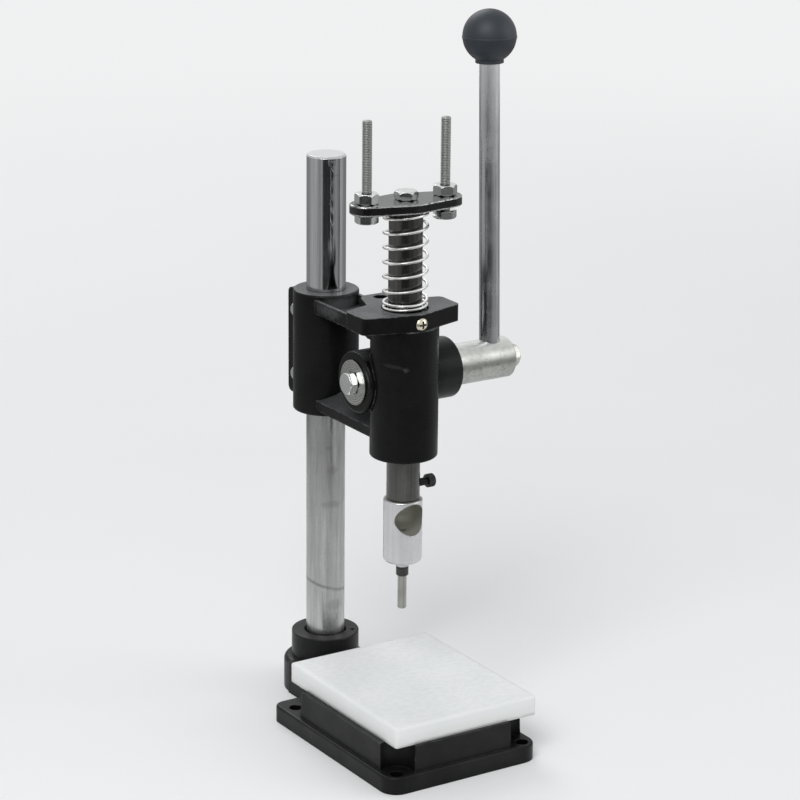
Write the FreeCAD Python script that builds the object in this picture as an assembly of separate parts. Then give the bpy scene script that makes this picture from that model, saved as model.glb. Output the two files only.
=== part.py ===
import FreeCAD, Part
import math
import os

V = FreeCAD.Vector

# Sizes in millimetres. The origin is on the floor plane, in the middle of the four
# bolt holes of the base. Plus Z is up, minus Y is the operator's side and plus X is
# the operator's right, where the hand lever is.

# Base casting
hole_pitch_x = 92.0
hole_pitch_y = 119.4
hole_radius = 4.2
flange_margin_side = 9.0
flange_margin_front = 7.1
flange_margin_back = 14.6
flange_height = 11.0
flange_front_corner = 11.0
flange_back_corner = 7.0
flange_top_rounding = 1.6
pedestal_half_width = 51.7
pedestal_front = 63.4
pedestal_top = 28.0
pedestal_draft = 0.4
front_notch_radius = 11.3
back_notch_radius = 22.0
back_notch_shift = 6.1
neck_height = 22.0
skirt_radius = 27.0
skirt_rounding = 3.5
socket_radius = 21.9
socket_top = 39.3
socket_rounding = 0.8
socket_floor = 6.0
socket_sink_radius = 13.8
socket_sink_depth = 2.0
ring_hole_radius = 1.4
ring_hole_depth = 4.0
ring_hole_angle = -38.0
rib_thickness = 5.0
pocket_wall = 7.0
pocket_roof = 8.0
pocket_corner = 5.0
pocket_columns = 2
pocket_rows = 3
pocket_end_y = 41.0

# Board
board_width = 102.8
board_length = 125.1
board_thickness = 12.7
board_offset_y = 1.6
board_rounding = 1.6

# Column
column_x = 4.1
column_y = 106.5
column_radius = 12.5
column_top = 356.9
column_chamfer = 1.0
column_fit = 0.05

# Head casting
clamp_radius = 21.0
clamp_bottom = 191.0
clamp_top = 270.1
casting_rounding = 1.4
split_gap = 2.2
ear_thickness = 8.0
ear_back = 31.6
ear_bottom = 196.0
ear_top = 265.5
ear_rounding = 4.0
ram_reach = 92.3
barrel_radius = 21.1
barrel_bottom = 185.4
flange_top_z = 279.3
flange_thick = 10.5
flange_mid_radius = 19.9
flange_end_radius = 12.2
flange_half_length = 34.6
flange_end_rounding = 3.5
flange_offset_x = -1.6
stop_spacing = 26.8
pad_half_width = 11.7
pad_back = 36.0
pad_corner = 4.0
pad_flare = 6.2
pad_flare_back = 14.3
pad_hole_radius = 4.3
pad_hole_back = 28.3
pad_hole_depth = 15.0
upper_bridge_half = 16.4
upper_bridge_top = 267.3
upper_bridge_thickness = 8.7
upper_bridge_hang = 5.1
arm_rim = 2.2
arm_pocket_depth = 6.5
lower_bridge_half = 15.6
lower_bridge_bottom = 195.0
lower_bridge_thickness = 6.3
lower_bridge_rise = 5.7
boss_radius = 19.3
boss_left = 24.4
boss_right = 43.8
spring_pocket_radius = 14.6
spring_pocket_depth = 3.0
running_fit = 0.05

# Clamp bolts and other hexagon hardware, size M8
bolt_radius = 4.0
bolt_head_flats = 13.0
bolt_head_height = 5.3
nut_height = 6.5
washer_radius = 8.0
washer_thickness = 1.6
thread_fit = 0.05
stop_bolt_radius = 3.1
clamp_bolt_back = 23.4
clamp_bolt_low_z = 209.0
clamp_bolt_high_z = 251.6
clamp_bolt_proud = 1.4
spot_face_radius = 8.6

# Oil hole screw in the front of the barrel
oil_screw_z = 273.0
oil_screw_head_radius = 4.1
oil_screw_head_height = 1.8
oil_screw_offset_x = -0.5
oil_screw_radius = 2.4
oil_screw_length = 4.4
cross_width = 1.3
cross_length = 4.8
cross_depth = 1.2

# Rack and pinion
tooth_module = 2.0
pinion_teeth = 11
pressure_angle = 25.0
pinion_tip_share = 1.0
pinion_root_share = 1.05
rack_tip_share = 0.75
rack_root_share = 1.2
flank_clearance = 0.12
pinion_back = 18.7
pinion_z = 230.6
pinion_toothed_half = 9.5
left_journal_radius = 9.0
left_bore_end = 12.0
hub_end = 88.2
hub_chamfer = 1.0
pinion_washer_radius = 14.1
pinion_washer_thickness = 1.2
end_play = 0.15
end_bolt_depth = 16.0
end_bolt_turn = 24
rack_bottom = 214.0
rack_count = 12

# Lever
lever_x = 75.7
lever_radius = 6.4
lever_foot_below = 8.5
lever_fit = 0.05
lever_tip_depth = 8.9
lever_lean = -1.8
ball_z = 434.9
ball_radius = 16.7
ball_neck_radius = 7.8
ball_lip_radius = 8.8
ball_lip_height = 1.8
ball_lip_drop = 1.6
ball_bore_fit = 0.05
lock_bolt_gap = 0.05
lock_bolt_proud = 1.8
lock_bolt_turn = 30

# Ram and its stop plate
ram_radius = 10.4
ram_bottom = 157.0
ram_top = 340.7
ram_rounding = 1.2
shank_radius = 5.0
shank_length = 25.0
shank_bore_spare = 2.0
tool_screw_rise = 8.0
plate_thickness = 6.0
plate_mid_radius = 16.4
plate_end_radius = 10.4
plate_turn = -4.1
plate_chamfer = 0.5
top_bolt_length = 20.0
left_stop_top = 397.1
right_stop_top = 394.6
stop_bolt_length = 57.0
top_bolt_turn = -27
left_stop_turn = 21
right_stop_turn = 40

# Return spring
spring_outer_radius = 14.15
wire_radius = 0.9
spring_foot_turns = 0.8
spring_closed_turns = 1
spring_closed_pitch = 2.4
spring_closed_end_z = 283.5
spring_active_turns = 6
spring_top_turns = 0.8
spring_end_gap = 0.05

# Tool lock screw, size M5
lock_screw_radius = 2.5
lock_screw_head_radius = 4.25
lock_screw_head_height = 5.0
lock_screw_neck = 6.6
lock_screw_socket_flats = 4.0
lock_screw_socket_depth = 2.5
lock_screw_tip_gap = 0.1

# Punch holder, collar and tube
holder_radius = 12.15
holder_length = 41.1
holder_foot_rounding = 3.0
holder_rounding = 0.8
chip_pocket_radius = 10.2
chip_pocket_drop = 11.3
chip_pocket_floor_y = 8.0
nose_radius = 3.6
nose_length = 3.8
collar_radius = 3.9
collar_length = 5.9
collar_chamfer = 0.5
tube_radius = 2.8
tube_bore_radius = 2.0
tube_reach = 31.5
tube_edge = 0.5
tube_seat_length = 12.0

# Shares of the sizes that they follow
corner_ease_share = 1.1
bolt_end_share = 0.17

# One overrun serves all cuts, and edges are found to within a small distance
cut_over = 1.0
tiny = 0.001
flank_points = 5
points_per_turn = 10
wire_sides = 8

# Places that follow from the sizes above
ram_y = column_y - ram_reach
pinion_y = ram_y + pinion_back
base_half_x = hole_pitch_x / 2 + flange_margin_side
base_front = hole_pitch_y / 2 + flange_margin_front
base_back = hole_pitch_y / 2 + flange_margin_back
board_top = pedestal_top + board_thickness
upper_bridge_edge = upper_bridge_top - upper_bridge_thickness
upper_bridge_crown = upper_bridge_edge - upper_bridge_hang
lower_bridge_edge = lower_bridge_bottom + lower_bridge_thickness
lower_bridge_crown = lower_bridge_edge + lower_bridge_rise
lever_tip_z = ball_z - lever_tip_depth
tool_screw_z = ram_bottom + tool_screw_rise
chip_pocket_z = ram_bottom - chip_pocket_drop
holder_bottom = ram_bottom - holder_length
tube_tip = holder_bottom - tube_reach
nose_bottom = holder_bottom - nose_length
plate_top = ram_top + plate_thickness
pitch_radius = tooth_module * pinion_teeth / 2
shaft_radius = pitch_radius + pinion_tip_share * tooth_module

UP = V(0, 0, 1)
RIGHT = V(1, 0, 0)
FRONT = V(0, -1, 0)


def on_column(x, y, z):
    """A place measured from the column's axis."""
    return V(column_x + x, column_y + y, z)


def on_ram(x, y, z):
    """A place measured from the ram's axis."""
    return V(column_x + x, ram_y + y, z)


def cylinder(radius, start, end):
    """A round bar from one point to another."""
    axis = end.sub(start)
    return Part.makeCylinder(radius, axis.Length, start, axis)


def box(x0, x1, y0, y1, z0, z1):
    return Part.makeBox(x1 - x0, y1 - y0, z1 - z0, V(x0, y0, z0))


def circle_edges(shape, radius, z):
    """The round edges of one radius that lie level at one height."""
    found = []
    for edge in shape.Edges:
        curve = edge.Curve
        level = abs(edge.BoundBox.ZMin - z) + abs(edge.BoundBox.ZMax - z) < tiny
        if isinstance(curve, Part.Circle) and level and abs(curve.Radius - radius) < tiny:
            found.append(edge)
    return found


def level_edges(shape, z):
    """All edges that lie level at one height."""
    found = []
    for edge in shape.Edges:
        if abs(edge.BoundBox.ZMin - z) + abs(edge.BoundBox.ZMax - z) < tiny:
            found.append(edge)
    return found


def upright_edges(shape):
    """All straight edges that run up and down."""
    found = []
    for edge in shape.Edges:
        box_of = edge.BoundBox
        if isinstance(edge.Curve, Part.Line) and box_of.XLength + box_of.YLength < tiny:
            found.append(edge)
    return found


def rounded_post(radius, place, low, high, low_rounding, high_rounding):
    """An upright round bar with softened ends."""
    bar = cylinder(radius, V(place.x, place.y, low), V(place.x, place.y, high))
    if high_rounding:
        bar = bar.makeFillet(high_rounding, circle_edges(bar, radius, high))
    if low_rounding:
        bar = bar.makeFillet(low_rounding, circle_edges(bar, radius, low))
    return bar


def prism(points, height_vector):
    """A straight prism over a closed outline of points."""
    outline = Part.makePolygon(points + [points[0]])
    return Part.Face(outline).extrude(height_vector)


def fuse_all(shapes):
    whole = shapes[0].multiFuse(shapes[1:])
    return whole.removeSplitter()


def turned_to(shape, axis, place):
    """A shape made along Z at the origin, turned to another axis and moved."""
    copy = shape.copy()
    copy.Placement = FreeCAD.Placement(place, FreeCAD.Rotation(UP, axis))
    return copy


def hexagon(flats, low, high):
    """A hexagon bar along Z with its corners eased at both ends."""
    corner = flats / 2 / math.cos(math.radians(30))
    points = []
    for i in range(6):
        angle = math.radians(60 * i)
        points.append(V(corner * math.cos(angle), corner * math.sin(angle), low))
    bar = prism(points, V(0, 0, high - low))
    ease = corner - flats / 2
    round_bar = cylinder(corner, V(0, 0, low), V(0, 0, high))
    ends = circle_edges(round_bar, corner, low) + circle_edges(round_bar, corner, high)
    return bar.common(round_bar.makeChamfer(ease * corner_ease_share, ends))


def hex_bolt(length, turn=0, radius=bolt_radius):
    """A hexagon bolt along Z: the head's seat is at zero and the shank points up."""
    head = hexagon(bolt_head_flats, -bolt_head_height, 0)
    head.rotate(V(0, 0, 0), UP, turn)
    shank = cylinder(radius, V(0, 0, 0), V(0, 0, length))
    end = circle_edges(shank, radius, length)
    return head.fuse(shank.makeChamfer(radius * bolt_end_share, end)).removeSplitter()


def hex_nut(turn, radius):
    """A hexagon nut along Z that stands on zero."""
    nut = hexagon(bolt_head_flats, 0, nut_height)
    nut.rotate(V(0, 0, 0), UP, turn)
    return nut.cut(cylinder(radius + thread_fit, V(0, 0, -cut_over),
                            V(0, 0, nut_height + cut_over)))


def lens_outline(mid_radius, end_radius, spacing, half_length, z):
    """The plan of the head's flange: a wide middle that tapers to two cut ends."""
    slope = math.asin((mid_radius - end_radius) / spacing)
    tangent_x = mid_radius * math.sin(slope)
    tangent_y = mid_radius * math.cos(slope)
    end_y = mid_radius / math.cos(slope) - half_length * math.tan(slope)
    pieces = []
    pieces.append(Part.LineSegment(V(-half_length, -end_y, z), V(-tangent_x, -tangent_y, z)))
    pieces.append(Part.Arc(V(-tangent_x, -tangent_y, z), V(0, -mid_radius, z),
                           V(tangent_x, -tangent_y, z)))
    pieces.append(Part.LineSegment(V(tangent_x, -tangent_y, z), V(half_length, -end_y, z)))
    pieces.append(Part.LineSegment(V(half_length, -end_y, z), V(half_length, end_y, z)))
    pieces.append(Part.LineSegment(V(half_length, end_y, z), V(tangent_x, tangent_y, z)))
    pieces.append(Part.Arc(V(tangent_x, tangent_y, z), V(0, mid_radius, z),
                           V(-tangent_x, tangent_y, z)))
    pieces.append(Part.LineSegment(V(-tangent_x, tangent_y, z), V(-half_length, end_y, z)))
    pieces.append(Part.LineSegment(V(-half_length, end_y, z), V(-half_length, -end_y, z)))
    return Part.Wire([piece.toShape() for piece in pieces])


def oval_outline(mid_radius, end_radius, spacing, z):
    """The plan of the stop plate: a wide round middle and two round ends."""
    slope = math.asin((mid_radius - end_radius) / spacing)
    side = math.sin(slope)
    rise = math.cos(slope)
    mid_x = mid_radius * side
    mid_y = mid_radius * rise
    end_x = spacing + end_radius * side
    end_y = end_radius * rise
    tip_x = spacing + end_radius
    pieces = []
    pieces.append(Part.LineSegment(V(-end_x, -end_y, z), V(-mid_x, -mid_y, z)))
    pieces.append(Part.Arc(V(-mid_x, -mid_y, z), V(0, -mid_radius, z), V(mid_x, -mid_y, z)))
    pieces.append(Part.LineSegment(V(mid_x, -mid_y, z), V(end_x, -end_y, z)))
    pieces.append(Part.Arc(V(end_x, -end_y, z), V(tip_x, 0, z), V(end_x, end_y, z)))
    pieces.append(Part.LineSegment(V(end_x, end_y, z), V(mid_x, mid_y, z)))
    pieces.append(Part.Arc(V(mid_x, mid_y, z), V(0, mid_radius, z), V(-mid_x, mid_y, z)))
    pieces.append(Part.LineSegment(V(-mid_x, mid_y, z), V(-end_x, end_y, z)))
    pieces.append(Part.Arc(V(-end_x, end_y, z), V(-tip_x, 0, z), V(-end_x, -end_y, z)))
    return Part.Wire([piece.toShape() for piece in pieces])


def pedestal_outline(inset, z):
    """The pedestal's plan: its corners are scooped out round the bolt holes."""
    hole_x = hole_pitch_x / 2
    hole_y = hole_pitch_y / 2
    side = pedestal_half_width - inset
    front = pedestal_front - inset
    scoop = front_notch_radius + inset
    bay = back_notch_radius + inset
    neck = hole_x - bay
    front_y = -hole_y + math.sqrt(scoop ** 2 - (side - hole_x) ** 2)
    front_x = -hole_x + math.sqrt(scoop ** 2 - (front - hole_y) ** 2)
    scoop_mid = V(-hole_x + scoop * math.sqrt(0.5), -hole_y + scoop * math.sqrt(0.5), z)
    bay_centre = hole_y + back_notch_shift
    bay_y = bay_centre - math.sqrt(bay ** 2 - (side - hole_x) ** 2)
    bay_mid = V(-hole_x + bay * math.sqrt(0.5), bay_centre - bay * math.sqrt(0.5), z)
    half = []
    half.append(("line", V(0, -front, z), V(front_x, -front, z)))
    half.append(("arc", V(front_x, -front, z), V(-side, front_y, z), scoop_mid))
    half.append(("line", V(-side, front_y, z), V(-side, bay_y, z)))
    half.append(("arc", V(-side, bay_y, z), V(-neck, bay_centre, z), bay_mid))
    half.append(("line", V(-neck, bay_centre, z), V(0, bay_centre, z)))
    edges = []
    for mirror in (1, -1):
        for piece in half:
            points = [V(p.x * mirror, p.y, p.z) for p in piece[1:]]
            if piece[0] == "line":
                edges.append(Part.LineSegment(points[0], points[1]).toShape())
            else:
                edges.append(Part.Arc(points[0], points[2], points[1]).toShape())
    return Part.Wire(Part.__sortEdges__(edges))


def base_casting():
    """Foot plate, pedestal and column socket in one casting, with pockets below."""
    plate = box(-base_half_x, base_half_x, -base_front, base_back, 0, flange_height)
    front_corners = [edge for edge in upright_edges(plate) if edge.CenterOfMass.y < 0]
    plate = plate.makeFillet(flange_front_corner, front_corners)
    back_corners = [edge for edge in upright_edges(plate) if edge.CenterOfMass.y > base_back - tiny]
    plate = plate.makeFillet(flange_back_corner, back_corners)
    plate = plate.makeFillet(flange_top_rounding, level_edges(plate, flange_height))
    foot = pedestal_outline(0, flange_height)
    top = pedestal_outline(pedestal_draft, pedestal_top)
    pedestal = Part.makeLoft([foot, top], True, True)
    centre = V(column_x, column_y, 0)
    skirt = rounded_post(skirt_radius, centre, 0, neck_height, 0, skirt_rounding)
    neck_half = hole_pitch_x / 2 - back_notch_radius
    neck = box(-neck_half, neck_half, hole_pitch_y / 2 - pocket_wall, column_y, 0, neck_height)
    socket = rounded_post(socket_radius, centre, 0, socket_top, 0, socket_rounding)
    body = fuse_all([plate, pedestal, neck, skirt, socket])
    bore = cylinder(column_radius + column_fit, on_column(0, 0, socket_floor),
                    on_column(0, 0, socket_top + cut_over))
    sink = Part.makeCone(column_radius + column_fit, socket_sink_radius, socket_sink_depth,
                         on_column(0, 0, socket_top - socket_sink_depth), UP)
    ring_middle = (socket_radius + socket_sink_radius) / 2
    turn = math.radians(ring_hole_angle)
    ring_x = ring_middle * math.cos(turn)
    ring_y = ring_middle * math.sin(turn)
    ring_hole = cylinder(ring_hole_radius, on_column(ring_x, ring_y, socket_top - ring_hole_depth),
                         on_column(ring_x, ring_y, socket_top + cut_over))
    cuts = [bore, sink, ring_hole] + base_holes() + base_pockets()
    return body.cut(cuts)


def base_holes():
    holes = []
    for side in (-1, 1):
        for end in (-1, 1):
            x = side * hole_pitch_x / 2
            y = end * hole_pitch_y / 2
            holes.append(cylinder(hole_radius, V(x, y, -cut_over), V(x, y, flange_height + cut_over)))
    return holes


def base_pockets():
    """Hollows in the underside, with ribs left between them and walls round the notches."""
    half = pedestal_half_width - pocket_wall
    start = -pedestal_front + pocket_wall
    width = (2 * half - (pocket_columns - 1) * rib_thickness) / pocket_columns
    length = (pocket_end_y - start - (pocket_rows - 1) * rib_thickness) / pocket_rows
    posts = []
    for side in (-1, 1):
        for y, notch in ((-hole_pitch_y / 2, front_notch_radius),
                         (hole_pitch_y / 2 + back_notch_shift, back_notch_radius)):
            x = side * hole_pitch_x / 2
            posts.append(cylinder(notch + pocket_wall, V(x, y, -2 * cut_over), V(x, y, pedestal_top)))
    pockets = []
    for column in range(pocket_columns):
        for row in range(pocket_rows):
            x = -half + column * (width + rib_thickness)
            y = start + row * (length + rib_thickness)
            pocket = box(x, x + width, y, y + length, -cut_over, pedestal_top - pocket_roof)
            pockets.append(pocket.makeFillet(pocket_corner, upright_edges(pocket)).cut(posts))
    return pockets


def cutting_board():
    """The plastic board that the punch presses into."""
    x = board_width / 2
    y = board_length / 2
    board = box(column_x - x, column_x + x, board_offset_y - y, board_offset_y + y,
                pedestal_top, board_top)
    board = board.makeFillet(board_rounding, upright_edges(board))
    return board.makeFillet(board_rounding, level_edges(board, board_top))


def column():
    bar = cylinder(column_radius, on_column(0, 0, socket_floor), on_column(0, 0, column_top))
    ends = circle_edges(bar, column_radius, column_top) + circle_edges(bar, column_radius, socket_floor)
    return bar.makeChamfer(column_chamfer, ends)


def bridge(half, flat, edge, crown):
    """One of the two arms between the clamp and the barrel, with a sloping inner face."""
    points = [V(-half, 0, flat), V(-half, 0, edge), V(0, 0, crown), V(half, 0, edge), V(half, 0, flat)]
    arm = prism(points, V(0, -ram_reach, 0))
    arm.translate(V(column_x, column_y, 0))
    return arm


def arm_pocket():
    """The open hollow in the upper arm, between its two rims, the clamp and the pad."""
    half = upper_bridge_half - arm_rim
    floor = upper_bridge_top - arm_pocket_depth
    hollow = box(-half, half, -ram_reach, 0, floor, upper_bridge_top + cut_over)
    hollow.translate(V(column_x, column_y, 0))
    post = cylinder(clamp_radius, V(column_x, column_y, clamp_bottom), V(column_x, column_y, clamp_top))
    barrel = cylinder(barrel_radius, V(column_x, ram_y, barrel_bottom), V(column_x, ram_y, flange_top_z))
    return hollow.cut([post, barrel, top_pad(), head_flange()])


def top_pad():
    """The raised pad behind the ram, which spreads into the flange."""
    z = upper_bridge_edge
    wide = pad_half_width + pad_flare
    points = [V(-wide, pad_flare_back, z), V(-pad_half_width, pad_back - pad_corner, z),
              V(-pad_half_width + pad_corner, pad_back, z), V(pad_half_width - pad_corner, pad_back, z),
              V(pad_half_width, pad_back - pad_corner, z), V(wide, pad_flare_back, z),
              V(wide, 0, z), V(-wide, 0, z)]
    pad = prism(points, V(0, 0, flange_top_z - z))
    pad.translate(V(column_x, ram_y, 0))
    return pad


def head_flange():
    low = flange_top_z - flange_thick
    outline = lens_outline(flange_mid_radius, flange_end_radius, stop_spacing, flange_half_length, low)
    plate = Part.Face(outline).extrude(V(0, 0, flange_thick))
    corners = []
    for edge in upright_edges(plate):
        if abs(abs(edge.CenterOfMass.x) - flange_half_length) < tiny:
            corners.append(edge)
    plate = plate.makeFillet(flange_end_rounding, corners)
    plate.translate(V(column_x + flange_offset_x, ram_y, 0))
    return plate


def pinion_boss():
    left = on_ram(-boss_left, pinion_back, pinion_z)
    right = on_ram(boss_right, pinion_back, pinion_z)
    bar = cylinder(boss_radius, left, right)
    ends = []
    for edge in bar.Edges:
        if isinstance(edge.Curve, Part.Circle):
            ends.append(edge)
    return bar.makeFillet(casting_rounding, ends)


def clamp_ears():
    ears = box(-split_gap / 2 - ear_thickness, split_gap / 2 + ear_thickness,
               column_radius, ear_back, ear_bottom, ear_top)
    outer = []
    for edge in ears.Edges:
        middle = edge.CenterOfMass
        far_end = abs(middle.z - ear_bottom) < tiny or abs(middle.z - ear_top) < tiny
        if abs(middle.y - ear_back) < tiny and far_end:
            outer.append(edge)
    ears = ears.makeFillet(ear_rounding, outer)
    ears.translate(V(column_x, column_y, 0))
    return ears


def head_casting():
    """Split clamp, two arms, barrel, flange and pinion boss in one casting."""
    clamp = rounded_post(clamp_radius, V(column_x, column_y, 0), clamp_bottom, clamp_top,
                         casting_rounding, casting_rounding)
    barrel = rounded_post(barrel_radius, V(column_x, ram_y, 0), barrel_bottom,
                          flange_top_z - flange_thick, casting_rounding, 0)
    upper = bridge(upper_bridge_half, upper_bridge_top, upper_bridge_edge, upper_bridge_crown)
    lower = bridge(lower_bridge_half, lower_bridge_bottom, lower_bridge_edge, lower_bridge_crown)
    body = fuse_all([clamp, barrel, upper, lower, head_flange(), top_pad(), pinion_boss(), clamp_ears()])
    return body.cut(head_cuts())


def head_cuts():
    cuts = [arm_pocket()]
    cuts.append(cylinder(column_radius + column_fit, on_column(0, 0, clamp_bottom - cut_over),
                         on_column(0, 0, clamp_top + cut_over)))
    half_gap = split_gap / 2
    cuts.append(box(column_x - half_gap, column_x + half_gap, column_y, column_y + ear_back + cut_over,
                    clamp_bottom - cut_over, clamp_top + cut_over))
    cuts.append(cylinder(ram_radius + running_fit, on_ram(0, 0, barrel_bottom - cut_over),
                         on_ram(0, 0, flange_top_z + cut_over)))
    cuts.append(cylinder(spring_pocket_radius, on_ram(0, 0, flange_top_z - spring_pocket_depth),
                         on_ram(0, 0, flange_top_z + cut_over)))
    cuts.append(cylinder(shaft_radius + running_fit, on_ram(-left_bore_end, pinion_back, pinion_z),
                         on_ram(boss_right + cut_over, pinion_back, pinion_z)))
    cuts.append(cylinder(left_journal_radius + running_fit,
                         on_ram(-boss_left - cut_over, pinion_back, pinion_z),
                         on_ram(0, pinion_back, pinion_z)))
    cuts.append(cylinder(pad_hole_radius, on_ram(0, pad_hole_back, flange_top_z - pad_hole_depth),
                         on_ram(0, pad_hole_back, flange_top_z + cut_over)))
    cuts.append(cylinder(oil_screw_radius, on_ram(oil_screw_offset_x, -barrel_radius - cut_over, oil_screw_z),
                         on_ram(oil_screw_offset_x, -flange_mid_radius + oil_screw_length,
                                oil_screw_z)))
    seat = split_gap / 2 + ear_thickness
    for z in (clamp_bolt_low_z, clamp_bolt_high_z):
        cuts.append(cylinder(bolt_radius + thread_fit, on_column(-seat - cut_over, clamp_bolt_back, z),
                             on_column(seat + cut_over, clamp_bolt_back, z)))
        cuts.append(cylinder(spot_face_radius, on_column(seat, clamp_bolt_back, z),
                             on_column(clamp_radius, clamp_bolt_back, z)))
    return cuts


def clamp_bolts():
    """Two bolts that draw the split clamp together, put in from the right."""
    seat = split_gap / 2 + ear_thickness + washer_thickness
    length = seat + split_gap / 2 + ear_thickness + clamp_bolt_proud
    bolts = []
    for z in (clamp_bolt_low_z, clamp_bolt_high_z):
        bolts.append(turned_to(hex_bolt(length), RIGHT.negative(), on_column(seat, clamp_bolt_back, z)))
    return Part.makeCompound(bolts)


def clamp_washers():
    washers = []
    inner = split_gap / 2 + ear_thickness
    outer = inner + washer_thickness
    for z in (clamp_bolt_low_z, clamp_bolt_high_z):
        disc = cylinder(washer_radius, on_column(inner, clamp_bolt_back, z),
                        on_column(outer, clamp_bolt_back, z))
        washers.append(disc.cut(cylinder(bolt_radius + thread_fit,
                                         on_column(inner - cut_over, clamp_bolt_back, z),
                                         on_column(outer + cut_over, clamp_bolt_back, z))))
    return Part.makeCompound(washers)


def oil_hole_screw():
    """Cross-head screw that closes the oil hole of the ram's bore."""
    head = Part.makeSphere(dome_radius(), V(0, 0, oil_screw_head_height - dome_radius()), UP)
    head = head.common(cylinder(oil_screw_head_radius, V(0, 0, 0), V(0, 0, oil_screw_head_height)))
    shank = cylinder(oil_screw_radius - thread_fit, V(0, 0, -oil_screw_length), V(0, 0, 0))
    screw = head.fuse(shank).removeSplitter()
    half_w = cross_width / 2
    half_l = cross_length / 2
    low = oil_screw_head_height - cross_depth
    high = oil_screw_head_height + cut_over
    screw = screw.cut([box(-half_l, half_l, -half_w, half_w, low, high),
                       box(-half_w, half_w, -half_l, half_l, low, high)])
    return turned_to(screw, FRONT, on_ram(oil_screw_offset_x, -flange_mid_radius, oil_screw_z))


def dome_radius():
    """The sphere whose cap is as wide and as high as the screw's head."""
    return (oil_screw_head_radius ** 2 + oil_screw_head_height ** 2) / (2 * oil_screw_head_height)


def pinion_section(x):
    """The toothed section in plan across the shaft, with involute flanks."""
    slope = math.radians(pressure_angle)
    base_radius = pitch_radius * math.cos(slope)
    root = pitch_radius - pinion_root_share * tooth_module
    tip = pitch_radius + pinion_tip_share * tooth_module
    half_pitch_angle = math.pi / 2 / pinion_teeth - flank_clearance / pitch_radius
    at_pitch = math.tan(slope) - slope
    flank = []
    for step in range(flank_points):
        radius = base_radius + (tip - base_radius) * step / (flank_points - 1)
        roll = math.acos(base_radius / radius)
        flank.append((radius, half_pitch_angle + at_pitch - (math.tan(roll) - roll)))
    step_angle = 2 * math.pi / pinion_teeth
    edges = []

    def spot(radius, angle):
        return V(x, -radius * math.cos(angle), radius * math.sin(angle))

    for tooth in range(pinion_teeth):
        middle = (tooth + 0.5) * step_angle
        left = [spot(r, middle - a) for r, a in flank]
        right = [spot(r, middle + a) for r, a in flank]
        root_left = spot(root, middle - flank[0][1])
        root_right = spot(root, middle + flank[0][1])
        next_left = spot(root, middle + step_angle - flank[0][1])
        edges.append(Part.LineSegment(root_left, left[0]).toShape())
        edges.append(curve_through(left))
        edges.append(Part.Arc(left[-1], spot(tip, middle), right[-1]).toShape())
        edges.append(curve_through(list(reversed(right))))
        edges.append(Part.LineSegment(right[0], root_right).toShape())
        edges.append(Part.Arc(root_right, spot(root, middle + step_angle / 2), next_left).toShape())
    return Part.Wire(edges)


def curve_through(points):
    spline = Part.BSplineCurve()
    spline.interpolate(points)
    return spline.toShape()


def pinion_shaft():
    """Shaft with the pinion cut in its middle, journals at both sides and the lever's hub."""
    half = pinion_toothed_half
    teeth = Part.Face(pinion_section(-half)).extrude(V(2 * half, 0, 0))
    teeth.translate(on_ram(0, pinion_back, pinion_z))
    left = cylinder(left_journal_radius, on_ram(-boss_left, pinion_back, pinion_z),
                    on_ram(-half, pinion_back, pinion_z))
    hub = cylinder(shaft_radius, on_ram(half, pinion_back, pinion_z),
                   on_ram(hub_end, pinion_back, pinion_z))
    outer_edge = []
    for edge in hub.Edges:
        if isinstance(edge.Curve, Part.Circle) and edge.CenterOfMass.x > column_x + boss_right:
            outer_edge.append(edge)
    hub = hub.makeChamfer(hub_chamfer, outer_edge)
    shaft = fuse_all([teeth, left, hub])
    lever_hole = leaned(cylinder(lever_radius + lever_fit,
                                 on_ram(lever_x, pinion_back, pinion_z - lever_foot_below - lever_fit),
                                 on_ram(lever_x, pinion_back, pinion_z + shaft_radius + cut_over)))
    end_hole = cylinder(bolt_radius + thread_fit, on_ram(-boss_left - cut_over, pinion_back, pinion_z),
                        on_ram(-boss_left + end_bolt_depth + cut_over, pinion_back, pinion_z))
    lock_hole = cylinder(bolt_radius + thread_fit, on_ram(lever_x, pinion_back, pinion_z),
                         on_ram(hub_end + cut_over, pinion_back, pinion_z))
    return shaft.cut([lever_hole, end_hole, lock_hole])


def pinion_washer():
    """Washer on the shaft's left end, which keeps the shaft in its bore."""
    inner = -boss_left
    outer = inner - pinion_washer_thickness
    disc = cylinder(pinion_washer_radius, on_ram(outer, pinion_back, pinion_z),
                    on_ram(inner - end_play, pinion_back, pinion_z))
    seat = cylinder(left_journal_radius, on_ram(outer, pinion_back, pinion_z),
                    on_ram(inner, pinion_back, pinion_z))
    hole = cylinder(bolt_radius + thread_fit, on_ram(outer - cut_over, pinion_back, pinion_z),
                    on_ram(inner + cut_over, pinion_back, pinion_z))
    return disc.fuse(seat).removeSplitter().cut(hole)


def pinion_bolt():
    length = end_bolt_depth + pinion_washer_thickness
    place = on_ram(-boss_left - pinion_washer_thickness, pinion_back, pinion_z)
    return turned_to(hex_bolt(length, end_bolt_turn), RIGHT, place)


def leaned(shape):
    """A shape on the upright lever, turned about the shaft to the lever's resting angle."""
    copy = shape.copy()
    copy.rotate(on_ram(0, pinion_back, pinion_z), RIGHT, lever_lean)
    return copy


def lever_rod():
    rod = cylinder(lever_radius, on_ram(lever_x, pinion_back, pinion_z - lever_foot_below),
                   on_ram(lever_x, pinion_back, lever_tip_z))
    ends = circle_edges(rod, lever_radius, lever_tip_z)
    return leaned(rod.makeChamfer(lever_radius * bolt_end_share, ends))


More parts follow.
